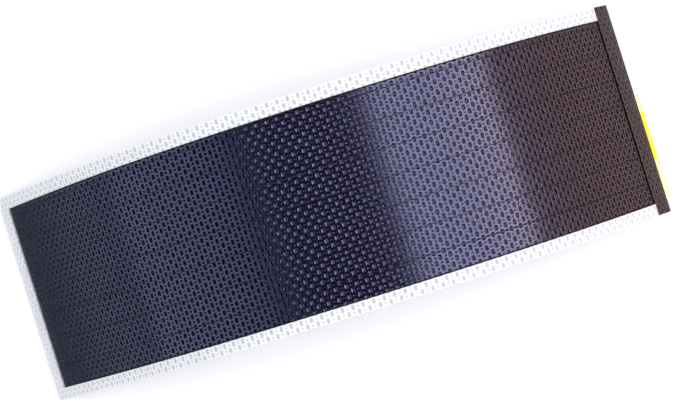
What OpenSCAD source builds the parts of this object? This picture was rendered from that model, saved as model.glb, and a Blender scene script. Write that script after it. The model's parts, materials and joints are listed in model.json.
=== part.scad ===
// Flexible solar sheet: a thin-film cell on steel foil, laminated between an embossed
// clear front film and a back sheet, with a bus bar at its right-hand end.
// The sheet stands as an arch on its two short ends. +X runs along the span towards the
// bus bar, +Y across the sheet, +Z up. The origin is at the centre of the footprint.
// The sheet bends anywhere along its length. Here it is cut into five arc segments, and
// each segment pivots on the next about a line across the sheet at mid-thickness.

/* [Sheet] */
// Length of the front film, measured along the bent sheet
film_len = 250; // [220:5:300]
// Width of the front film
film_w = 64; // [60:1:80]
// Gap in every layer between two segments
hinge_gap = 0.6; // [0.5:0.1:1]

/* [Bend] */
// Bend of the segment at the left-hand end, in degrees
bend_left_outer = 11; // [8:1:20]
// Bend of the segment between the left-hand end and the crown
bend_left_inner = 31; // [20:1:35]
// Bend of the segment at the top of the arch
bend_crown = 27; // [20:1:35]
// Bend of the segment between the crown and the right-hand end
bend_right_inner = 34; // [20:1:35]
// Bend of the segment at the right-hand end
bend_right_outer = 19; // [8:1:20]

/* [Cell] */
// Clear margin at the left-hand end
margin_left = 5; // [3:0.5:8]
// Clear margin at the right-hand end, beyond the cell
margin_right = 7; // [6:0.5:10]
// Clear margin along the far edge
margin_far = 4; // [3:0.5:8]
// Clear margin along the near edge
margin_near = 3.5; // [3:0.5:8]
// Strip of bare foil left around the coated area
edge_trim = 0.4; // [0.2:0.1:1]
// Number of grid wires along the cell
wire_count = 7; // [3:1:7]
// Spacing of the grid wires
wire_pitch = 8; // [5:0.5:8]
// Distance from the cell's far edge to the first wire
wire_inset = 2; // [1:0.5:4]
// Diameter of a coated grid wire
wire_d = 0.25; // [0.1:0.01:0.25]

/* [Layers] */
// Thickness of the clear front film
film_t = 0.1; // [0.05:0.01:0.15]
// Thickness of the coated cell stack on the foil
active_t = 0.02; // [0.01:0.01:0.03]
// Thickness of the steel foil
foil_t = 0.13; // [0.1:0.01:0.2]
// Thickness of the front encapsulant above the cell
front_cover_t = 0.4; // [0.38:0.01:0.45]
// Thickness of the rear encapsulant below the foil
rear_cover_t = 0.28; // [0.26:0.01:0.35]
// Thickness of the back sheet
back_t = 0.2; // [0.15:0.01:0.3]

/* [Bus end] */
// Width of the black strip over the bus bar
bus_w = 8.2; // [7:0.1:10]
// Distance that the strip reaches past the bus bar on the cell side
strip_lap = 0.6; // [0.4:0.1:1.5]
// Length of yellow tape beyond the cell
tape_reach = 2.4; // [1:0.1:3]
// Thickness of the yellow tapes
tape_t = 0.06; // [0.04:0.01:0.06]
// Thickness of the copper bus bar and ribbons
copper_t = 0.08; // [0.05:0.01:0.08]
// Thickness of the black cover strip
strip_t = 0.06; // [0.04:0.01:0.06]
// Width of the copper ribbons
ribbon_w = 6; // [4:0.5:6]
// Diameter of a soldering pad
pad_d = 5; // [4:0.5:5]
// Diameter of the opening in the back sheet over a pad
opening_d = 7; // [6:0.5:8]

/* [Hidden] */
SEGMENTS = ["left_outer", "left_inner", "crown", "right_inner", "right_outer"];
BENDS = [bend_left_outer, bend_left_inner, bend_crown, bend_right_inner, bend_right_outer];
LAYERS = ["front_film", "front_encapsulant", "grid_wires", "active_layer", "steel_foil",
          "rear_encapsulant", "back_sheet"];
BUS_PIECES = ["bus_insulating_tape", "bus_bar", "wire_bond_beads", "bus_cover_strip",
              "positive_ribbon", "positive_pad", "edge_wrap_tape", "rear_insulating_tape",
              "negative_ribbon", "negative_weld_spots", "negative_pad"];

$fn = 720;
COUNT = len(BENDS);
LAST = COUNT - 1;
seg_len = film_len / COUNT;

// Clearance between two layers, so that no two solids share a face
slip = 0.01;
// The stretch of thickness t that lies just above or just below the level z
function above(z, t) = [z + slip, z + slip + t];
function below(z, t) = [z - slip - t, z - slip];

// Heights in the stack, counted from the underside of the foil
foil_z = [0, foil_t];
active_z = above(foil_z[1], active_t);
wire_z = above(active_z[1], wire_d);
front_cover_z = [0, active_z[1] + front_cover_t];
film_z = above(front_cover_z[1], film_t);
rear_cover_z = below(0, rear_cover_t);
back_z = below(rear_cover_z[0], back_t);
mid_z = (film_z[1] + back_z[0]) / 2;
half_t = (film_z[1] - back_z[0]) / 2;

// The bus bar's own stack, upwards from the cell
bead_t = 0.1;
bus_tape_z = above(active_z[1], tape_t);
bus_bar_z = above(bus_tape_z[1], copper_t);
bead_z = above(bus_bar_z[1], bead_t);
lap_z = above(bus_bar_z[1], copper_t);
wrap_top_z = above(lap_z[1], tape_t);
strip_z = above(max(lap_z[1], bead_z[1]), strip_t);

// The pieces behind the foil, downwards
rear_tape_z = below(0, tape_t);
ribbon_z = below(rear_tape_z[0], copper_t);
wrap_tape_z = below(ribbon_z[0], tape_t);
pad_t = 0.1;
pad_drop = 0.03;
pad_z = below(ribbon_z[0] - pad_drop, pad_t);

// Places across the sheet
film_y = [-film_w / 2, film_w / 2];
cell_y = [film_y[0] + margin_near, film_y[1] - margin_far];
flap_y = [cell_y[0] + 0.5, 4];
wrap_y = [-16, -1.2];
positive_y = (wrap_y[0] + wrap_y[1]) / 2;
negative_y = 14;

// Places along the sheet
film_s = [0, film_len];
cell_s = [margin_left, film_len - margin_right];
bus_s = [cell_s[1] - bus_w, cell_s[1]];
bar_s = [bus_s[0] + strip_lap, bus_s[1]];
flap_end = cell_s[1] + tape_reach;
web_s = above(flap_end, copper_t);
wrap_web_s = above(web_s[1], tape_t);
lap_start = bus_s[0] + 4;
ribbon_start = cell_s[1] - 13;
wrap_start = cell_s[1] - 2;
pad_s = cell_s[1] - 9;
bead_d = 1.6;
weld_d = 0.8;
weld_pitch = 2.2;

// Tangent angle where segment i starts, before the arch is levelled
function raw_tilt(i) = i == 0 ? 0 : raw_tilt(i - 1) - BENDS[i - 1];
function heading(a) = [cos(a), sin(a)];
function outward(a) = [-sin(a), cos(a)];
function radius(i) = seg_len * 180 / (PI * BENDS[i]);
function chord(i) = 2 * radius(i) * sin(BENDS[i] / 2);
// Point at mid-thickness where segment i starts, before the arch is levelled
function raw_knot(i) =
    i == 0 ? [0, 0] : raw_knot(i - 1) + chord(i - 1) * heading(raw_tilt(i - 1) - BENDS[i - 1] / 2);

// The feet are the back corners of the two ends, and the arch is turned until they are level
foot_left = raw_knot(0) - half_t * outward(raw_tilt(0));
foot_right = raw_knot(COUNT) - half_t * outward(raw_tilt(COUNT));
level = -atan2(foot_right.y - foot_left.y, foot_right.x - foot_left.x);
function turned(p) = [p.x * cos(level) - p.y * sin(level), p.x * sin(level) + p.y * cos(level)];
function tilt(i) = raw_tilt(i) + level;
tip_left = turned(raw_knot(0)) + half_t * outward(tilt(0));
tip_right = turned(raw_knot(COUNT)) + half_t * outward(tilt(COUNT));
base = [(tip_left.x + tip_right.x) / 2, turned(foot_left).y];
function knot(i) = turned(raw_knot(i)) - base;
function arc_centre(i) = knot(i) - radius(i) * outward(tilt(i));
function polar(i, s) = 90 + tilt(i) - (s - i * seg_len) * BENDS[i] / seg_len;

// Part of the stretch s that lies in segment i, less half a hinge gap inside the sheet
function within(i, s) = [
    max(s[0], i == 0 ? 0 : i * seg_len + hinge_gap / 2),
    min(s[1], i == LAST ? film_len : (i + 1) * seg_len - hinge_gap / 2)
];
// The same stretch, run on through the joint faces so that a pocket has open ends
function through(i, s) = [
    max(s[0], i == 0 ? -1 : i * seg_len + hinge_gap / 4),
    min(s[1], i == LAST ? film_len + 1 : (i + 1) * seg_len - hinge_gap / 4)
];
function wire_y(n) = cell_y[1] - wire_inset - n * wire_pitch;
function around(middle, size) = [middle - size / 2, middle + size / 2];

// Puts the children on the arc of segment i: X runs outwards, Y back along the arc from
// the place s, and Z towards the near edge
module on_arc(i, s) {
    translate([arc_centre(i).x, 0, arc_centre(i).y])
        rotate([90, 0, 0])
            rotate([0, 0, polar(i, s)])
                children();
}

// A curved plate in segment i, over the stretches s along the sheet, y across it and z
// through the stack, grown by fit on every side
module plate(i, s, y, z, fit = 0) {
    on_arc(i, s[1] + fit)
        rotate_extrude(angle = (s[1] - s[0] + 2 * fit) * BENDS[i] / seg_len)
            translate([radius(i) - mid_z + z[0] - fit, -y[1] - fit])
                square([z[1] - z[0] + 2 * fit, y[1] - y[0] + 2 * fit]);
}

// A flat round disc on the sheet at s and y, through the stretch z of the stack
module disc(i, s, y, z, d) {
    on_arc(i, s)
        translate([radius(i) - mid_z + z[0], 0, -y])
            rotate([0, 90, 0])
                cylinder(h = z[1] - z[0], d = d);
}

// ---- Layers, one stretch of each in every segment ----

module front_film(i) {
    color([0.93, 0.95, 0.96, 0.4])
        plate(i, within(i, film_s), film_y, film_z);
}

// Fills the margins down to the underside of the foil, around the cell and its wires
module front_encapsulant(i) {
    color([0.86, 0.88, 0.88])
        difference() {
            plate(i, within(i, film_s), film_y, front_cover_z);
            plate(i, through(i, cell_s + [-slip, slip]), cell_y + [-slip, slip],
                  [-1, active_z[1] + slip]);
            for (n = [0 : wire_count - 1])
                plate(i, through(i, [cell_s[0], bar_s[0]]), around(wire_y(n), wire_d + 2 * slip),
                      [active_z[1], wire_z[1] + slip]);
            if (i == LAST)
                front_bus_pockets();
        }
}

module front_bus_pockets() {
    plate(LAST, bus_s, film_y + [-1, 1], strip_z, slip);
    plate(LAST, bar_s, cell_y, [active_z[1], strip_z[0]], slip);
    plate(LAST, [bus_s[1] - 1, flap_end], flap_y, bus_tape_z, slip);
    plate(LAST, [bus_s[1] - 1, wrap_web_s[1]], wrap_y, [-1, wrap_top_z[1]], slip);
}

module grid_wires(i) {
    s = within(i, [cell_s[0] + edge_trim, bar_s[0] - 2 * slip]);
    color([0.12, 0.12, 0.15])
        for (n = [0 : wire_count - 1])
            on_arc(i, s[1])
                rotate_extrude(angle = (s[1] - s[0]) * BENDS[i] / seg_len)
                    translate([radius(i) - mid_z + wire_z[0] + wire_d / 2, -wire_y(n)])
                        circle(d = wire_d, $fn = 24);
}

module active_layer(i) {
    color([0.2, 0.17, 0.4])
        plate(i, within(i, cell_s + edge_trim * [1, -1]), cell_y + edge_trim * [1, -1], active_z);
}

module steel_foil(i) {
    color([0.55, 0.56, 0.58])
        plate(i, within(i, cell_s), cell_y, foil_z);
}

module rear_encapsulant(i) {
    color([0.8, 0.82, 0.82])
        difference() {
            plate(i, within(i, film_s), film_y, rear_cover_z);
            if (i == LAST)
                rear_bus_pockets();
        }
}

module rear_bus_pockets() {
    plate(LAST, [ribbon_start, wrap_web_s[1]], wrap_y, [ribbon_z[0], 1], slip);
    plate(LAST, [wrap_start, wrap_web_s[1]], wrap_y, [wrap_tape_z[0], 1], slip);
    plate(LAST, [ribbon_start, cell_s[1]], around(negative_y, ribbon_w), [ribbon_z[0], 1], slip);
    for (y = [positive_y, negative_y])
        disc(LAST, pad_s, y, [back_z[0] - 1, ribbon_z[0]], opening_d);
}

module back_sheet(i) {
    color([0.9, 0.9, 0.88])
        difference() {
            plate(i, within(i, film_s), film_y, back_z);
            if (i == LAST)
                for (y = [positive_y, negative_y])
                    disc(LAST, pad_s, y, [back_z[0] - 1, back_z[1] + 1], opening_d);
        }
}

// ---- Pieces of the bus end, all in the last segment ----

// Yellow tape under the bus bar, cut away past the end of the cell except for one flap
module bus_insulating_tape() {
    color([0.95, 0.8, 0.15])
        difference() {
            plate(LAST, [bar_s[0], flap_end], cell_y, bus_tape_z);
            for (y = [[cell_y[0] - 1, flap_y[0]], [flap_y[1], cell_y[1] + 1]])
                plate(LAST, [bar_s[1], flap_end + 1], y, [bus_tape_z[0] - 1, bus_tape_z[1] + 1]);
        }
}

module bus_bar() {
    color([0.72, 0.45, 0.3])
        plate(LAST, bar_s, cell_y + edge_trim * [1, -1], bus_bar_z);
}

// One bead of conductive paste on the bus bar, at the end of each wire
module wire_bond_beads() {
    color([0.75, 0.76, 0.78])
        for (n = [0 : wire_count - 1])
            disc(LAST, bar_s[0] + bead_d / 2, wire_y(n), bead_z, bead_d);
}

module bus_cover_strip() {
    color([0.2, 0.2, 0.18])
        plate(LAST, bus_s, film_y, strip_z);
}

// Laps over the bus bar, folds round the end of the cell and runs back under the foil
module positive_ribbon() {
    y = around(positive_y, ribbon_w);
    color([0.8, 0.5, 0.32])
        union() {
            plate(LAST, [lap_start, web_s[1]], y, lap_z);
            plate(LAST, web_s, y, [ribbon_z[0], lap_z[1]]);
            plate(LAST, [ribbon_start, web_s[1]], y, ribbon_z);
        }
}

module positive_pad() {
    color([0.82, 0.83, 0.85])
        disc(LAST, pad_s, positive_y, pad_z, pad_d);
}

// Yellow tape folded over the ribbon where it turns round the end of the cell
module edge_wrap_tape() {
    color([0.98, 0.85, 0.1])
        union() {
            plate(LAST, [bus_s[1] + 3 * slip, wrap_web_s[1]], wrap_y, wrap_top_z);
            plate(LAST, wrap_web_s, wrap_y, [wrap_tape_z[0], wrap_top_z[1]]);
            plate(LAST, [wrap_start, wrap_web_s[1]], wrap_y, wrap_tape_z);
        }
}

module rear_insulating_tape() {
    color([0.95, 0.8, 0.15])
        plate(LAST, [ribbon_start, flap_end], wrap_y, rear_tape_z);
}

module negative_ribbon() {
    color([0.8, 0.5, 0.32])
        plate(LAST, [ribbon_start, cell_s[1] - 2], around(negative_y, ribbon_w), ribbon_z);
}

// Four weld spots that join the negative ribbon to the foil, off to one side of its pad
module negative_weld_spots() {
    color([0.5, 0.5, 0.52])
        for (a = [-1, 1], b = [-1, 1])
            disc(LAST, bus_s[1] - 4 + a * weld_pitch / 2, negative_y + b * weld_pitch / 2,
                 rear_tape_z, weld_d);
}

module negative_pad() {
    color([0.82, 0.83, 0.85])
        disc(LAST, pad_s, negative_y, pad_z, pad_d);
}

for (i = [0 : LAST]) {
    front_film(i);
    front_encapsulant(i);
    grid_wires(i);
    active_layer(i);
    steel_foil(i);
    rear_encapsulant(i);
    back_sheet(i);
}
bus_insulating_tape();
bus_bar();
wire_bond_beads();
bus_cover_strip();
positive_ribbon();
positive_pad();
edge_wrap_tape();
rear_insulating_tape();
negative_ribbon();
negative_weld_spots();
negative_pad();
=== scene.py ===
"""Flexible solar sheet: the looks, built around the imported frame.

Places on the sheet are (s, y, z): s runs along it from the left-hand end, y across it,
and z through its thickness, from the underside of the steel foil outwards.
"""

import json
import math

import bpy
import numpy as np
from mathutils import Matrix, Vector, geometry


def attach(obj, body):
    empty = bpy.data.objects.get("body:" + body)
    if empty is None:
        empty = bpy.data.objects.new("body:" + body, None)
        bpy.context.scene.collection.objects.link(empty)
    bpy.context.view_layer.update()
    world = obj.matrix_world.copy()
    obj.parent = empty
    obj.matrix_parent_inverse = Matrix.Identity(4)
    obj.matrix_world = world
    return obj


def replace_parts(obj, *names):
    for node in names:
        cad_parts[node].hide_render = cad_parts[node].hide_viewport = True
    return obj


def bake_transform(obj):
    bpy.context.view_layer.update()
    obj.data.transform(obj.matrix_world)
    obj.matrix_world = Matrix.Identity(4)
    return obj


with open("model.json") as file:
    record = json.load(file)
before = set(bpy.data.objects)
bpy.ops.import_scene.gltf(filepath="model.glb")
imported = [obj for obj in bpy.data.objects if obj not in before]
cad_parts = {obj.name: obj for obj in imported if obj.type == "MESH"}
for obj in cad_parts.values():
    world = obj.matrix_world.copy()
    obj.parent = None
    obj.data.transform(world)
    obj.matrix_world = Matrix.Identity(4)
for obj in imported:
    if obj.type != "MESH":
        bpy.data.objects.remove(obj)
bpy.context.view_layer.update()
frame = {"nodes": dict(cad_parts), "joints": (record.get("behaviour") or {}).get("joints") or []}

MM = 0.001

# ---- The sheet's driving dimensions, as in the CAD model ----

BODIES = ["left_outer", "left_inner", "crown", "right_inner", "right_outer"]
BENDS = [math.radians(a) for a in (11, 31, 27, 34, 19)]
FILM_LEN, FILM_W = 250 * MM, 64 * MM
SEG_LEN = FILM_LEN / len(BODIES)
# Clearance between two layers
SLIP = 0.01 * MM

COPPER_T, TAPE_T = 0.08 * MM, 0.06 * MM
WIRE_COUNT = 7
WIRE_PITCH = 8 * MM
WIRE_INSET = 2 * MM
WIRE_D = 0.25 * MM


def above(z, thickness):
    """The stretch of that thickness just above the level z."""
    return (z + SLIP, z + SLIP + thickness)


def below(z, thickness):
    """The stretch of that thickness just below the level z."""
    return (z - SLIP - thickness, z - SLIP)


# Places along the sheet and across it
ALL_Y = (-FILM_W / 2, FILM_W / 2)
CELL_S = (5 * MM, FILM_LEN - 7 * MM)
CELL_Y = (-FILM_W / 2 + 3.5 * MM, FILM_W / 2 - 4 * MM)
COATING_TRIM = 0.4 * MM
BUS_S = (CELL_S[1] - 8.2 * MM, CELL_S[1])
STRIP_LAP = 0.6 * MM
WIRES_S = (CELL_S[0] + COATING_TRIM, BUS_S[0] + STRIP_LAP - 2 * SLIP)
WIRES_Y = [CELL_Y[1] - WIRE_INSET - n * WIRE_PITCH for n in range(WIRE_COUNT)]
FLAP_S = (CELL_S[1], CELL_S[1] + 2.4 * MM)
FLAP_Y = (CELL_Y[0] + 0.5 * MM, 4 * MM)
RIBBON_WEB_S = above(FLAP_S[1], COPPER_T)
WRAP_S = (CELL_S[1], above(RIBBON_WEB_S[1], TAPE_T)[1])
WRAP_Y = (-16 * MM, -1.2 * MM)
PAD_S = CELL_S[1] - 9 * MM
PADS_Y = (sum(WRAP_Y) / 2, 14 * MM)
OPENING_D = 7 * MM

# Heights through the sheet
FOIL_Z = (0, 0.13 * MM)
COATING_Z = above(FOIL_Z[1], 0.02 * MM)
WIRE_Z = above(COATING_Z[1], WIRE_D)
BUS_TAPE_Z = above(COATING_Z[1], TAPE_T)
BUS_BAR_Z = above(BUS_TAPE_Z[1], COPPER_T)
BEAD_Z = above(BUS_BAR_Z[1], 0.1 * MM)
STRIP_Z = above(BEAD_Z[1], TAPE_T)
FRONT_COVER_Z = (0, COATING_Z[1] + 0.4 * MM)
FILM_Z = above(FRONT_COVER_Z[1], 0.1 * MM)
REAR_COVER_Z = below(0, 0.28 * MM)
BACK_Z = below(REAR_COVER_Z[0], 0.2 * MM)
MID_Z = (FILM_Z[1] + BACK_Z[0]) / 2

# The embossed weave: 33 yarns to a segment, so that every cut falls between two yarns
PITCH = SEG_LEN / 33
# The share of a yarn that is cut off at the left-hand end
PHASE = 0.5
# Half sizes of its two kinds of hollow, along and across the sheet, in yarns
SLOT = (0.38, 0.57)
DASH = (0.38, 0.21)
# How deep the second kind is, as a share of the first
DASH_DEPTH = 0.4
# How far the yarns stand above the film's CAD level, and how far the hollows lie below them
EMBOSS_PROUD = 0.16 * MM
EMBOSS_DEPTH = 0.24 * MM
# What lies under the film is seen bent by its hollows, as if it had hollows itself. This is how
# deep they are, as a share of the film's.
SEEN_THROUGH = 1.1

# Lines of the film's mesh to a yarn, along and across the sheet
FILM_LINES = (7, 6)
# Spacing of the other meshes' lines along the sheet, along the cell and across the sheet
STEP_S = 2.5 * MM
CELL_STEP_S = 1.5 * MM
STEP_Y = 4 * MM

# ---- The arch, from the hinges of the frame ----


def hinge_points():
    """The four hinge points of the frame in the XZ plane, from left to right."""
    points = [(j["pos_m"][0], j["pos_m"][2]) for j in frame["joints"]]
    return [np.array(p) for p in sorted(points)]


def outward(a):
    """Unit vectors away from the arch's inside, where its tangent has the angle a."""
    return np.stack([-np.sin(a), np.cos(a)], -1)


def arch():
    """For each segment: its tangent angle at the left end, its radius and its arc centre."""
    hinges = hinge_points()
    chord = hinges[1] - hinges[0]
    tilt = math.atan2(chord[1], chord[0]) + BENDS[1] / 2 + BENDS[0]
    segments = []
    for i, bend in enumerate(BENDS):
        radius = SEG_LEN / bend
        end_tilt = tilt - bend
        at_hinge = (hinges[0], end_tilt) if i == 0 else (hinges[i - 1], tilt)
        centre = at_hinge[0] - radius * outward(np.float64(at_hinge[1]))
        segments.append((tilt, radius, centre))
        tilt = end_tilt
    return segments


ARCH = arch()


def place(s, y, z):
    """Points in the row frame for places on the sheet, as arrays of one shape."""
    s, y, z = np.broadcast_arrays(np.asarray(s, float), y, z)
    i = np.clip((s / SEG_LEN).astype(int), 0, len(ARCH) - 1)
    tilt, radius = (np.array([a[k] for a in ARCH])[i] for k in (0, 1))
    centre = np.array([a[2] for a in ARCH])[i]
    angle = tilt - (s - i * SEG_LEN) / radius
    p = centre + (radius + z - MID_Z)[..., None] * outward(angle)
    return np.stack([p[..., 0], y, p[..., 1]], -1)


# ---- Stretches, each across one hinge, cut where a segment's middle is rigid ----

MIDDLES = [(i + 0.5) * SEG_LEN for i in range(len(BODIES))]
CUTS = [0, *MIDDLES[1:-1], FILM_LEN]


def bend_with_sheet(obj, k):
    """The places of the middles of bodies k and k + 1 are found, and stretch k's transform is baked
    into its mesh.
    """
    start, end = (place(MIDDLES[i], 0, MID_Z) for i in (k, k + 1))
    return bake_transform(obj)


def replace_layer(obj, layer, k):
    """Stretch k stands for segment k, and the last one for the last segment too."""
    segments = BODIES[k : k + 1] if k < len(CUTS) - 2 else BODIES[k:]
    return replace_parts(obj, *(f"{layer}_{segment}" for segment in segments))


# ---- Mesh building ----


def lines(stretch, step, keep=()):
    """Even lines over a stretch, about step apart, which also pass through the places in keep."""
    marks = sorted({stretch[0], stretch[1], *(m for m in keep if stretch[0] < m < stretch[1])})
    found = [marks[0]]
    for a, b in zip(marks, marks[1:]):
        count = max(1, round((b - a) / step))
        found += [a + (b - a) * (n + 1) / count for n in range(count)]
    return np.array(found)


def mesh_object(name, points, faces, uvs, sharp):
    """A smooth mesh with its places on the sheet as UVs in yarns, and sharp edges from that angle."""
    mesh = bpy.data.meshes.new(name)
    mesh.from_pydata(points.tolist(), [], faces)
    layer = mesh.uv_layers.new(name="sheet")
    loops = np.empty(len(mesh.loops), np.int32)
    mesh.loops.foreach_get("vertex_index", loops)
    layer.data.foreach_set("uv", (uvs[loops] / PITCH + (PHASE, 0)).astype(np.float32).ravel())
    mesh.polygons.foreach_set("use_smooth", [True] * len(mesh.polygons))
    mesh.update()
    mesh.set_sharp_from_angle(angle=math.radians(sharp))
    obj = bpy.data.objects.new(name, mesh)
    bpy.context.scene.collection.objects.link(obj)
    return obj


def slab(name, s_lines, y_lines, z_levels, solid=None, relief=None):
    """A closed curved plate over a grid of lines, z_levels = (under, top).

    solid(s, y) says which cells of the grid are filled, by their middles, and
    relief(s, y) is added to the top. The sides are sharp and the faces smooth.
    """
    n, m = len(s_lines), len(y_lines)
    s, y = np.meshgrid(s_lines, y_lines, indexing="ij")
    top_z = z_levels[1] + (relief(s, y) if relief else 0 * s)
    top, under = place(s, y, top_z), place(s, y, z_levels[0])
    cell_s, cell_y = np.meshgrid(
        (s_lines[1:] + s_lines[:-1]) / 2, (y_lines[1:] + y_lines[:-1]) / 2, indexing="ij"
    )
    filled = np.ones_like(cell_s, bool) if solid is None else solid(cell_s, cell_y)
    index = np.arange(n * m).reshape(n, m)
    quads = np.stack([index[:-1, :-1], index[1:, :-1], index[1:, 1:], index[:-1, 1:]], -1)[filled]
    shift = n * m
    faces = [quads, quads[:, ::-1] + shift]
    padded = np.pad(filled, 1)
    inside = padded[1:-1, 1:-1]
    edges = (
        (padded[1:-1, :-2], index[:-1, :-1], index[1:, :-1]),
        (padded[1:-1, 2:], index[1:, 1:], index[:-1, 1:]),
        (padded[:-2, 1:-1], index[:-1, 1:], index[:-1, :-1]),
        (padded[2:, 1:-1], index[1:, :-1], index[1:, 1:]),
    )
    for neighbour, a, b in edges:
        wall = inside & ~neighbour
        a, b = a[wall], b[wall]
        faces.append(np.stack([b, a, a + shift, b + shift], -1))
    faces = np.concatenate(faces)
    used, renumbered = np.unique(faces, return_inverse=True)
    points = np.concatenate([top.reshape(-1, 3), under.reshape(-1, 3)])[used]
    uvs = np.tile(np.stack([s, y], -1).reshape(-1, 2), (2, 1))[used]
    return mesh_object(name, points, renumbered.reshape(faces.shape).tolist(), uvs, sharp=50)


# ---- The layers ----


def yarn_lines(stretch, per_yarn, phase):
    """Lines at per_yarn places in each yarn of the weave, and at both ends of the stretch."""
    step = PITCH / per_yarn
    first, last = (round(end / step + phase * per_yarn) for end in stretch)
    inner = [(n - phase * per_yarn) * step for n in range(first, last + 1)]
    kept = [a for a in inner if stretch[0] + 0.3 * step < a < stretch[1] - 0.3 * step]
    return np.array([stretch[0], *kept, stretch[1]])


def embossing(s, y):
    """Height of the film's top over its CAD level.

    The plain weave leaves a long hollow under each cross yarn, and a short shallow one
    under each lengthwise yarn.
    """
    u, v = s / PITCH + PHASE, y / PITCH
    along, across = u % 1 - 0.5, v % 1 - 0.5
    cross_yarn = (np.floor(u) + np.floor(v)) % 2 < 1
    half_s, half_y = (np.where(cross_yarn, a, b) for a, b in zip(SLOT, DASH))
    reach = (along / half_s) ** 2 + (across / half_y) ** 4
    depth = EMBOSS_DEPTH * np.where(cross_yarn, 1, DASH_DEPTH)
    return EMBOSS_PROUD - depth * np.clip(1 - reach, 0, None) ** 2


def front_film(k):
    """Clear film with the weave embossed in its top face. Its underside is plain."""
    s_lines = yarn_lines((CUTS[k], CUTS[k + 1]), FILM_LINES[0], PHASE)
    y_lines = yarn_lines(ALL_Y, FILM_LINES[1], 0)
    n, m = len(s_lines), len(y_lines)
    s, y = np.meshgrid(s_lines, y_lines, indexing="ij")
    top = place(s, y, FILM_Z[1] + embossing(s, y)).reshape(-1, 3)
    edge_s, edge_y = np.meshgrid(s_lines, ALL_Y, indexing="ij")
    under = place(edge_s, edge_y, FILM_Z[0]).reshape(-1, 3)
    index = np.arange(n * m).reshape(n, m)
    low = np.arange(n * 2).reshape(n, 2) + n * m
    quads = np.stack([index[:-1, :-1], index[1:, :-1], index[1:, 1:], index[:-1, 1:]], -1)
    faces = quads.reshape(-1, 4).tolist()
    top_count = len(faces)
    for i in range(n - 1):
        faces.append([low[i, 0], low[i, 1], low[i + 1, 1], low[i + 1, 0]])
        faces.append([index[i + 1, 0], index[i, 0], low[i, 0], low[i + 1, 0]])
        faces.append([index[i, -1], index[i + 1, -1], low[i + 1, 1], low[i, 1]])
    faces.append([*index[0], low[0, 1], low[0, 0]])
    faces.append([*index[-1, ::-1], low[-1, 0], low[-1, 1]])
    grids = ((s, y), (edge_s, edge_y))
    uvs = np.concatenate([np.stack(grid, -1).reshape(-1, 2) for grid in grids])
    obj = mesh_object(f"front_film_{k}", np.concatenate([top, under]), faces, uvs, sharp=60)
    obj.data.materials.append(film_face())
    obj.data.materials.append(film_underside())
    slots = np.ones(len(faces), np.int32)
    slots[:top_count] = 0
    obj.data.polygons.foreach_set("material_index", slots)
    return obj


def front_encapsulant(k):
    """The filled margins around the cell, open over the yellow tape and lower under the strip."""
    # Length of the slope down to the lower level
    slope = 0.05 * MM
    under_strip = (BUS_S[0] - slope, BUS_S[0], CELL_S[1], CELL_S[1] + slope)

    def solid(s, y):
        cell = (s > CELL_S[0]) & (s < CELL_S[1]) & (y > CELL_Y[0]) & (y < CELL_Y[1])
        wrap = (s > CELL_S[1]) & (s < WRAP_S[1]) & (y > WRAP_Y[0]) & (y < WRAP_Y[1])
        flap = (s > CELL_S[1]) & (s < FLAP_S[1]) & (y > FLAP_Y[0]) & (y < FLAP_Y[1])
        return ~(cell | wrap | flap)

    def relief(s, y):
        lowered = (s > BUS_S[0] - slope / 2) & (s < CELL_S[1] + slope / 2)
        return np.where(lowered, STRIP_Z[0] - SLIP - FRONT_COVER_Z[1], 0)

    y_lines = lines(ALL_Y, 3.5 * MM, keep=(*CELL_Y, *WRAP_Y, *FLAP_Y))
    marks = (CELL_S[0], *under_strip, FLAP_S[1], WRAP_S[1])
    s_lines = lines((CUTS[k], CUTS[k + 1]), STEP_S, keep=marks)
    obj = slab(f"front_encapsulant_{k}", s_lines, y_lines, FRONT_COVER_Z, solid, relief)
    obj.data.materials.append(encapsulant())
    return obj


def clipped(stretch, k):
    """The part of the stretch that lies in stretch k of the sheet."""
    return (max(stretch[0], CUTS[k]), min(stretch[1], CUTS[k + 1]))


def inset(stretch, by):
    """The stretch, shorter by that much at each end."""
    return (stretch[0] + by, stretch[1] - by)


def cell_layer(name, k, z_levels, trim, material):
    """Stretch k of the foil or of the coating on it, smaller by trim on every side."""
    s_lines = lines(clipped(inset(CELL_S, trim), k), CELL_STEP_S)
    y_lines = lines(inset(CELL_Y, trim), STEP_Y)
    obj = slab(f"{name}_{k}", s_lines, y_lines, z_levels)
    obj.data.materials.append(material)
    return obj


def active_layer(k, material):
    """The coating, which stops just short of the foil's edges."""
    return cell_layer("active_layer", k, COATING_Z, COATING_TRIM, material)


def foil_layer(k):
    """The steel foil. Its upper face, which only shows as a rim around the coating, is dark."""
    obj = cell_layer("steel_foil", k, FOIL_Z, 0, steel())
    obj.data.materials.append(scribed_rim())
    for face in obj.data.polygons:
        face.material_index = int(face.normal.z > 0.2)
    return obj


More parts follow.
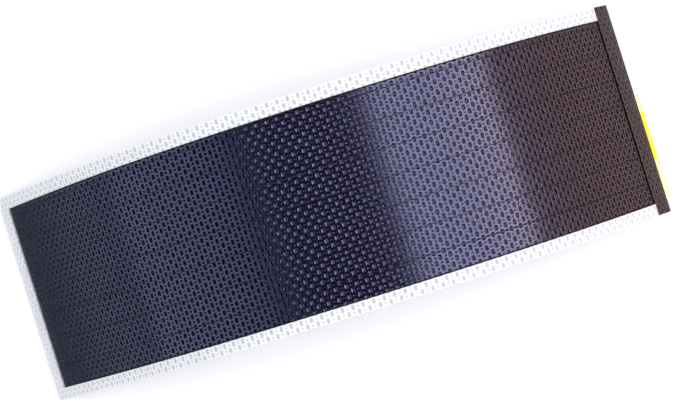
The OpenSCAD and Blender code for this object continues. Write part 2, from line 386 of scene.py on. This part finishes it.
def grid_wires(k):
    """Seven round wires, which lie on the coating and end at the bus bar, under the strip."""
    s_lines = lines(clipped(WIRES_S, k), CELL_STEP_S)
    sides = 8
    n = len(s_lines)
    angles = np.arange(sides) * 2 * math.pi / sides
    points, uvs, faces = [], [], []
    for wire_y in WIRES_Y:
        y = wire_y + WIRE_D / 2 * np.cos(angles)
        z = (WIRE_Z[0] + WIRE_Z[1]) / 2 + WIRE_D / 2 * np.sin(angles)
        s = np.repeat(s_lines, sides)
        y, z = np.tile(y, n), np.tile(z, n)
        first = len(points) * n * sides
        ring = first + np.arange(n * sides).reshape(n, sides)
        next_ring = np.roll(ring, -1, axis=1)
        walls = np.stack([ring[:-1], ring[1:], next_ring[1:], next_ring[:-1]], -1)
        faces += walls.reshape(-1, 4).tolist()
        faces += [ring[0].tolist(), ring[-1, ::-1].tolist()]
        points.append(place(s, y, z))
        uvs.append(np.stack([s, y], -1))
    uvs = np.concatenate(uvs)
    obj = mesh_object(f"grid_wires_{k}", np.concatenate(points), faces, uvs, sharp=60)
    obj.data.materials.append(wire_coating())
    return obj


def rear_layer(name, k, z_levels, material):
    """Stretch k of a layer behind the foil, as far as its pierced end."""
    s_lines = lines((CUTS[k], min(CUTS[k + 1], MIDDLES[-1])), STEP_S)
    obj = slab(f"{name}_{k}", s_lines, lines(ALL_Y, STEP_Y), z_levels)
    obj.data.materials.append(material)
    return obj


def pierced_end(name, z_levels, material):
    """The last half segment of a rear layer, with a round opening over each soldering pad."""
    start, radius, count = MIDDLES[-1], OPENING_D / 2, 48
    ring = np.arange(count) * 2 * math.pi / count
    edges_s = lines((start, FILM_LEN), STEP_S)
    edges_y = lines(ALL_Y, STEP_Y)
    loops = [
        [(a, ALL_Y[0]) for a in edges_s[:-1]]
        + [(FILM_LEN, a) for a in edges_y[:-1]]
        + [(a, ALL_Y[1]) for a in edges_s[:0:-1]]
        + [(start, a) for a in edges_y[:0:-1]]
    ]
    for pad_y in PADS_Y:
        loops.append([(PAD_S + radius * math.cos(a), pad_y - radius * math.sin(a)) for a in ring])
    flat, edges = [], []
    for loop in loops:
        first = len(flat)
        flat += loop
        edges += [(first + i, first + (i + 1) % len(loop)) for i in range(len(loop))]
    for a in edges_s[1:-1]:
        for b in edges_y[1:-1]:
            if all(math.hypot(a - PAD_S, b - pad_y) > radius + MM for pad_y in PADS_Y):
                flat.append((a, b))
    found = geometry.delaunay_2d_cdt([Vector(p) for p in flat], edges, [], 1, 1e-7)
    flat, triangles = np.array([tuple(p) for p in found[0]]), found[2]

    def kept(triangle):
        middle = flat[list(triangle)].mean(axis=0)
        return all(math.hypot(middle[0] - PAD_S, middle[1] - y) > radius for y in PADS_Y)

    triangles = [list(triangle) for triangle in triangles if kept(triangle)]
    shift = len(flat)
    faces = triangles + [[i + shift for i in reversed(triangle)] for triangle in triangles]
    sides = {(t[i], t[(i + 1) % 3]) for t in triangles for i in range(3)}
    faces += [[b, a, a + shift, b + shift] for a, b in sides if (b, a) not in sides]
    top, under = (place(flat[:, 0], flat[:, 1], z) for z in reversed(z_levels))
    obj = mesh_object(name, np.concatenate([top, under]), faces, np.tile(flat, (2, 1)), sharp=50)
    obj.data.materials.append(material)
    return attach(obj, BODIES[-1])


def cover_strip():
    """The black strip over the bus bar and the wires' ends, from edge to edge of the film."""
    obj = slab("bus_cover_strip_cloth", lines(BUS_S, 1 * MM), lines(ALL_Y, STEP_Y), STRIP_Z)
    obj.data.materials.append(black_strip())
    obj.data.materials.append(strip_edge_painted_paler())
    # The strip lies on the steep end of the arch, so only its edge on the cell side faces up. That face
    # gets painted light, a paler finish that keeps the step from showing as a dark line.
    for face in obj.data.polygons:
        face.material_index = int(face.normal.z > 0.7)
    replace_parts(obj, "bus_cover_strip")
    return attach(obj, BODIES[-1])


# ---- Materials ----


def new_material(name):
    """A new material and its empty node tree."""
    material = bpy.data.materials.new(name)
    material.use_nodes = True
    material.node_tree.nodes.clear()
    return material, material.node_tree


def node(tree, kind, inputs=None, **settings):
    """A new shader node. Each input is another node's socket, or else a constant."""
    made = tree.nodes.new("ShaderNode" + kind)
    for name, value in settings.items():
        setattr(made, name, value)
    for key, value in (inputs or {}).items():
        if isinstance(value, bpy.types.NodeSocket):
            tree.links.new(value, made.inputs[key])
        else:
            made.inputs[key].default_value = value
    return made


def calc(tree, operation, a, b=0.0):
    """The result of that sum on numbers, as a socket."""
    return node(tree, "Math", {0: a, 1: b}, operation=operation).outputs[0]


def finish_material(tree, shader):
    """Make the shader the surface of its material."""
    node(tree, "OutputMaterial", {"Surface": shader})


def weave(tree):
    """The print of the weave, as sockets.

    The first is its depth: 1 at the bottom of a long hollow and 0 on the yarns. The other two are
    the surface's slopes along and across the sheet, for a long hollow one yarn deep.
    """
    uv = node(tree, "UVMap", uv_map="sheet")
    split = node(tree, "SeparateXYZ", {0: uv.outputs[0]})
    u, v = split.outputs[0], split.outputs[1]
    along = calc(tree, "SUBTRACT", calc(tree, "FRACT", u), 0.5)
    across = calc(tree, "SUBTRACT", calc(tree, "FRACT", v), 0.5)
    count = calc(tree, "ADD", calc(tree, "FLOOR", u), calc(tree, "FLOOR", v))
    lengthwise = calc(tree, "FLOORED_MODULO", count, 2)

    def choose(slot, dash):
        return calc(tree, "ADD", slot, calc(tree, "MULTIPLY", lengthwise, dash - slot))

    def side(place_in_yarn, axis, power):
        """Half the slope of (place / half size) to that power."""
        per_size = choose(*(power / 2 / kind[axis] ** power for kind in (SLOT, DASH)))
        return calc(tree, "MULTIPLY", calc(tree, "POWER", place_in_yarn, power - 1), per_size)

    sides = [side(along, 0, 2), side(across, 1, 4)]
    reach = calc(
        tree,
        "ADD",
        calc(tree, "MULTIPLY", along, sides[0]),
        calc(tree, "MULTIPLY", calc(tree, "MULTIPLY", across, sides[1]), 0.5),
    )
    inside = calc(tree, "MAXIMUM", calc(tree, "SUBTRACT", 1, reach), 0)
    depth = choose(1, DASH_DEPTH)
    hollow = calc(tree, "MULTIPLY", calc(tree, "MULTIPLY", inside, inside), depth)
    flank = calc(tree, "MULTIPLY", calc(tree, "MULTIPLY", inside, depth), 4)
    return hollow, *(calc(tree, "MULTIPLY", flank, a) for a in sides)


def vector_calc(tree, operation, a, b=(0, 0, 0)):
    """The result of that sum on vectors or colours, as a socket."""
    return node(tree, "VectorMath", {0: a, 1: b}, operation=operation).outputs[0]


def weave_normal(tree, slopes, depth):
    """The normal of a surface with hollows of that depth, from their slopes."""
    normal = node(tree, "NewGeometry").outputs["Normal"]
    along = node(tree, "Tangent", direction_type="UV_MAP", uv_map="sheet").outputs[0]
    across = vector_calc(tree, "CROSS_PRODUCT", normal, along)
    for slope, axis in zip(slopes, (along, across)):
        tilt = calc(tree, "MULTIPLY", slope, -depth / PITCH)
        lean = node(tree, "VectorMath", {0: axis, "Scale": tilt}, operation="SCALE").outputs[0]
        normal = vector_calc(tree, "ADD", normal, lean)
    return vector_calc(tree, "NORMALIZE", normal)


def speckle(tree, scale):
    """Fine unevenness over the object's own coordinates, from 0 to 1."""
    place_in = node(tree, "TexCoord").outputs["Object"]
    return node(tree, "TexNoise", {"Vector": place_in, "Scale": scale, "Detail": 3}).outputs[0]


def ramp(tree, factor, dark, light):
    """The colour between dark and light, where the factor runs from 0 to 1."""
    mix = node(tree, "Mix", data_type="RGBA")
    tree.links.new(factor, mix.inputs[0])
    mix.inputs[6].default_value = (*dark, 1)
    mix.inputs[7].default_value = (*light, 1)
    return mix.outputs[2]


def bump(tree, height, distance):
    """The normal of a surface that rises by that distance where the height goes from 0 to 1."""
    return node(tree, "Bump", {"Height": height, "Distance": distance}).outputs[0]


def stops(tree, factor, *colours):
    """A smooth run of colours, each given as its place from 0 to 1 and its red, green and blue."""
    made = node(tree, "ValToRGB", {0: factor})
    made.color_ramp.interpolation = "EASE"
    elements = made.color_ramp.elements
    while len(elements) < len(colours):
        elements.new(0.5)
    for element, (position, *colour) in zip(elements, colours):
        element.position = position
        element.color = (*colour, 1)
    return made.outputs[0]


def share_along(tree):
    """The place along the sheet, from 0 at its left-hand end to 1 at its right-hand end."""
    uv = node(tree, "UVMap", uv_map="sheet")
    u = node(tree, "SeparateXYZ", {0: uv.outputs[0]}).outputs[0]
    return node(tree, "MapRange", {0: u, 1: PHASE, 2: FILM_LEN / PITCH + PHASE}).outputs[0]


def with_painted_hollow_shade(tree, colour, hollow):
    """The colour, with painted shade in the hollows of the weave.

    How much darker is set for the main view: most on the left flank, hardly at all from the crown to
    the key light's band, and some at the bus end. It is fixed to the sheet.
    """
    shade = stops(
        tree,
        share_along(tree),
        (0.0, 4.0, 4.0, 4.0),
        (0.2, 9.0, 9.0, 8.0),
        (0.36, 8.0, 8.0, 8.0),
        (0.45, 0.1, 0.1, 0.1),
        (0.7, 0.1, 0.1, 0.1),
        (0.82, 3.0, 3.0, 3.0),
    )
    left = vector_calc(tree, "SUBTRACT", (1, 1, 1), vector_calc(tree, "MULTIPLY", shade, hollow))
    return vector_calc(tree, "MULTIPLY", colour, vector_calc(tree, "MAXIMUM", left, (0, 0, 0)))


def mixed(tree, share, first, second):
    """Two shaders in one, with that share of the second."""
    return node(tree, "MixShader", {0: share, 1: first.outputs[0], 2: second.outputs[0]}).outputs[0]


def film_face():
    """Clear plastic with a soft gloss. What it doesn't reflect passes straight through."""
    material, tree = new_material("clear film, embossed face")
    fresnel = node(tree, "Fresnel", {"IOR": 1.05})
    gloss = node(tree, "BsdfGlossy", {"Color": (0.93, 0.94, 1, 1), "Roughness": 0.45})
    clear = node(tree, "BsdfTransparent", {"Color": (0.97, 0.98, 0.98, 1)})
    finish_material(tree, mixed(tree, fresnel.outputs[0], clear, gloss))
    return material


def film_underside():
    """The clear film's bonded face, which has no gloss."""
    material, tree = new_material("clear film, bonded face")
    clear = node(tree, "BsdfTransparent", {"Color": (0.99, 0.99, 0.99, 1)})
    finish_material(tree, clear.outputs[0])
    return material


def encapsulant():
    """Milky clear resin, with painted shade in the hollows of the weave, which fades at the bus end."""
    material, tree = new_material("encapsulant")
    hollow = weave(tree)[0]
    cloud = speckle(tree, 900)
    # Painted shade: the weave's hollows are grey on the milky resin, less so towards the bus end
    hollow_shade = node(tree, "MapRange", {0: hollow, 2: 0.4}, interpolation_type="SMOOTHSTEP").outputs[0]
    fading = ((0.0, 1.0, 1.0, 1.0), (0.94, 0.8, 0.8, 0.8), (0.98, 0.2, 0.2, 0.2))
    hollow_shade = calc(tree, "MULTIPLY", hollow_shade, stops(tree, share_along(tree), *fading))
    colour = ramp(tree, hollow_shade, (0.98, 0.98, 0.98), (0.52, 0.525, 0.53))
    normal = bump(tree, cloud, 0.02 * MM)
    milk = node(tree, "BsdfDiffuse", {"Color": colour, "Normal": normal})
    through = node(tree, "BsdfTranslucent", {"Color": (0.9, 0.91, 0.92, 1)})
    clear = node(tree, "BsdfTransparent", {"Color": (0.97, 0.98, 0.98, 1)})
    body = node(tree, "MixShader", {0: 0.25, 1: milk.outputs[0], 2: through.outputs[0]})
    finish_material(tree, mixed(tree, 0.7, clear, body))
    return material


# Partly the coating's own hue and partly painted reflection colour: the bronze towards the bus end
# stands in for warm light from the right
def coating_and_reflection_tint(tree):
    """Violet over most of the cell, turning to bronze towards the bus end. Its stops are set for the
    main view, in the same way as the shade in the hollows.
    """
    return stops(tree, share_along(tree), (0.64, 0.66, 0.64, 1.0), (0.86, 1.0, 0.82, 0.82))


def cell_coating():
    """Near-black thin-film cell with a tinted reflection."""
    material, tree = new_material("cell coating")
    hollow, *slopes = weave(tree)
    # The dark base colour makes the same turn towards the bus end, partly the coating's own hue and
    # partly painted warm light
    depths = ((0.64, 0.002, 0.002, 0.011), (0.86, 0.004, 0.003, 0.004))
    cloud = speckle(tree, 60)
    rough = node(tree, "MapRange", {0: cloud, 3: 0.17, 4: 0.23}).outputs[0]
    normal = weave_normal(tree, slopes, EMBOSS_DEPTH * SEEN_THROUGH)
    # The reflection's tint, with painted shade in the weave's hollows
    tint = with_painted_hollow_shade(tree, coating_and_reflection_tint(tree), hollow)
    shader = node(
        tree,
        "BsdfPrincipled",
        {
            "Base Color": stops(tree, share_along(tree), *depths),
            "Roughness": rough,
            "IOR": 1.72,
            "Specular Tint": tint,
            "Normal": normal,
        },
    )
    finish_material(tree, shader.outputs[0])
    return material


def coated(name, dark, light, roughness, metallic=0.0, specular=0.5, grain=400):
    """A plain opaque finish with fine unevenness in its colour, sheen and surface."""
    material, tree = new_material(name)
    cloud = speckle(tree, grain)
    rough = node(tree, "MapRange", {0: cloud, 3: roughness - 0.07, 4: roughness + 0.07}).outputs[0]
    shader = node(
        tree,
        "BsdfPrincipled",
        {
            "Base Color": ramp(tree, cloud, dark, light),
            "Roughness": rough,
            "Metallic": metallic,
            "Specular IOR Level": specular,
            "Normal": bump(tree, cloud, 0.01 * MM),
        },
    )
    finish_material(tree, shader.outputs[0])
    return material


def wire_coating():
    return coated("wire coating", (0.004, 0.004, 0.005), (0.01, 0.01, 0.013), 0.4, specular=0.45)


def steel():
    return coated("stainless foil", (0.42, 0.43, 0.45), (0.58, 0.59, 0.6), 0.34, metallic=1.0)


def scribed_rim():
    return coated("scribed rim", (0.004, 0.004, 0.005), (0.012, 0.012, 0.014), 0.8, specular=0.1)


def yellow_tape():
    return coated("yellow tape", (0.86, 0.7, 0.01), (0.95, 0.82, 0.02), 0.35)


def thin_yellow_tape():
    """The single layer under the bus bar, paler than where the tape is doubled."""
    return coated("thin yellow tape", (0.9, 0.82, 0.3), (0.96, 0.9, 0.42), 0.35)


def copper():
    return coated("copper", (0.62, 0.3, 0.17), (0.78, 0.42, 0.26), 0.3, metallic=1.0)


def solder():
    return coated("tinned pad", (0.6, 0.61, 0.62), (0.78, 0.79, 0.8), 0.3, metallic=1.0, grain=700)


def black_strip():
    """Charcoal strip with a brown sheen and the weave pressed into it."""
    material, tree = new_material("black strip")
    hollow, *slopes = weave(tree)
    cloud = speckle(tree, 500)
    shader = node(
        tree,
        "BsdfPrincipled",
        {
            "Base Color": ramp(tree, cloud, (0.004, 0.004, 0.003), (0.01, 0.009, 0.007)),
            "Roughness": 0.22,
            "IOR": 1.85,
            # The sheen's tint, with painted shade in the weave's hollows
            "Specular Tint": with_painted_hollow_shade(tree, (1.0, 0.86, 0.78), hollow),
            "Normal": weave_normal(tree, slopes, EMBOSS_DEPTH * SEEN_THROUGH),
        },
    )
    finish_material(tree, shader.outputs[0])
    return material


def strip_edge_painted_paler():
    """The strip's long cut edge on the cell side, with painted light: paler than the strip, so that the
    step doesn't show as a dark line.
    """
    return coated("strip edge, painted paler", (0.05, 0.042, 0.038), (0.07, 0.06, 0.056), 0.7, specular=0.2)


def back_film():
    """Clear satin film on the back, faintly hazy."""
    material, tree = new_material("back sheet")
    cloud = speckle(tree, 300)
    skin = bump(tree, cloud, 0.01 * MM)
    looks = {"Base Color": (0.8, 0.82, 0.84, 1), "Roughness": 0.35, "Normal": skin}
    gloss = node(tree, "BsdfPrincipled", looks)
    clear = node(tree, "BsdfTransparent", {"Color": (0.97, 0.98, 0.98, 1)})
    finish_material(tree, mixed(tree, 0.2, clear, gloss))
    return material


# ---- Assembly ----


def build_sheet():
    """Every layer, as stretches of the sheet, each its own object."""
    resin, back, coating = encapsulant(), back_film(), cell_coating()
    for k in range(len(CUTS) - 1):
        layers = {
            "front_film": (front_film(k), "clear_film"),
            "front_encapsulant": (front_encapsulant(k), "encapsulant"),
            "grid_wires": (grid_wires(k), "grid_wire"),
            "active_layer": (active_layer(k, coating), "cell_coating"),
            "steel_foil": (foil_layer(k), "steel_foil"),
            "rear_encapsulant": (rear_layer("rear_encapsulant", k, REAR_COVER_Z, resin), "encapsulant"),
            "back_sheet": (rear_layer("back_sheet", k, BACK_Z, back), "back_sheet"),
        }
        for layer, (obj, slot) in layers.items():
            bend_with_sheet(obj, k)
            replace_layer(obj, layer, k)
    pierced_end("rear_encapsulant_end", REAR_COVER_Z, resin)
    pierced_end("back_sheet_end", BACK_Z, back)
    cover_strip()


def finish_bus_pieces():
    """Better materials for the small CAD pieces at the bus end."""
    tape, ribbon, tin, foil = yellow_tape(), copper(), solder(), steel()
    finishes = {
        "bus_insulating_tape": thin_yellow_tape(),
        "edge_wrap_tape": tape,
        "rear_insulating_tape": tape,
        "bus_bar": ribbon,
        "positive_ribbon": ribbon,
        "negative_ribbon": ribbon,
        "wire_bond_beads": tin,
        "positive_pad": tin,
        "negative_pad": tin,
        "negative_weld_spots": foil,
    }
    for name, material in finishes.items():
        for slot in frame["nodes"][name].material_slots:
            slot.material = material


# ---- Stage, lights and camera ----


def add_floor():
    """A plain pale floor, which the gloss doesn't mirror."""
    bpy.ops.mesh.primitive_plane_add(size=6, location=(0, 0, -0.2 * MM))
    floor = bpy.context.object
    floor.name = "floor"
    material, tree = new_material("white floor")
    cloud = speckle(tree, 3)
    grey = ramp(tree, cloud, (0.86, 0.86, 0.86), (0.9, 0.9, 0.9))
    finish_material(tree, node(tree, "BsdfDiffuse", {"Color": grey}).outputs[0])
    floor.data.materials.append(material)
    floor.visible_glossy = False


def add_softbox(name, lean_deg, size, distance, radiance, colour):
    """A round soft light over the middle of the sheet, leaning from straight up towards +X."""
    target = Vector((0, 0, 0.04))
    lean = math.radians(lean_deg)
    direction = Vector((math.sin(lean), 0, math.cos(lean)))
    light = bpy.data.lights.new(name, "AREA")
    light.shape = "DISK"
    light.size = size
    light.color = colour
    # An evenly bright disc gives off pi times its radiance times its area
    light.energy = radiance * math.pi * math.pi * size**2 / 4
    obj = bpy.data.objects.new(name, light)
    obj.location = target + direction * distance
    obj.rotation_euler = direction.to_track_quat("Z", "Y").to_euler()
    bpy.context.scene.collection.objects.link(obj)
    return obj


def add_room():
    """A dark room with a pale blue wall to the left and a pink one to the right, dark low down."""
    world = bpy.data.worlds.new("room")
    world.use_nodes = True
    tree = world.node_tree
    direction = node(tree, "TexCoord").outputs["Generated"]
    split = node(tree, "SeparateXYZ", {0: direction})
    x, z = split.outputs[0], split.outputs[2]
    walls = stops(
        tree,
        node(tree, "MapRange", {0: x, 1: -1}).outputs[0],
        (0.1, 0.85, 0.9, 1.05),
        (0.36, 0.08, 0.05, 0.08),
        (0.8, 0.09, 0.06, 0.07),
        (0.98, 1.25, 0.9, 1.0),
    )
    # The wall on the right reaches lower than the one on the left
    height = calc(tree, "ADD", z, calc(tree, "MULTIPLY", x, 0.25))
    rise = {0: height, 1: -0.8, 2: -0.45}
    lit = node(tree, "MapRange", rise, interpolation_type="SMOOTHSTEP").outputs[0]
    background = tree.nodes["Background"]
    tree.links.new(walls, background.inputs["Color"])
    tree.links.new(lit, background.inputs["Strength"])
    bpy.context.scene.world = world


def add_lights():
    """The room, two lights that the gloss mirrors, and two that only light what is matt."""
    add_room()
    add_softbox("key", 41.5, size=1.45, distance=1.5, radiance=5.3, colour=(0.93, 0.93, 1.0))
    add_softbox("fill", -58, size=1.5, distance=1.5, radiance=0.9, colour=(0.88, 0.92, 1.0))
    for light in (
        add_softbox("ceiling", 0, size=5, distance=3, radiance=0.8, colour=(1.0, 1.0, 0.98)),
        add_softbox("left bounce", -50, size=2.5, distance=2, radiance=1.1, colour=(1.0, 0.99, 0.96)),
    ):
        light.visible_glossy = False


def add_camera():
    """Almost straight above, leaning towards +X, and turned so that the bus end rises to the right."""
    target = Vector((0.0045, -0.0004, 0.05))
    lean_x, lean_y, turn = (math.radians(a) for a in (4.0, 0.56, 17.43))
    distance = 0.797
    back = Vector((math.sin(lean_x), -math.sin(lean_y), 1)).normalized()
    right = Vector((math.cos(turn), -math.sin(turn), 0))
    right = (right - right.dot(back) * back).normalized()
    up = back.cross(right)
    camera = bpy.data.cameras.new("camera")
    camera.lens = 149.3
    obj = bpy.data.objects.new("camera", camera)
    turned = Matrix((right, up, back)).transposed()
    obj.matrix_world = Matrix.Translation(target + back * distance) @ turned.to_4x4()
    bpy.context.scene.collection.objects.link(obj)
    bpy.context.scene.camera = obj


bpy.context.scene.view_settings.view_transform = "Standard"
build_sheet()
finish_bus_pieces()
add_floor()
add_lights()
add_camera()
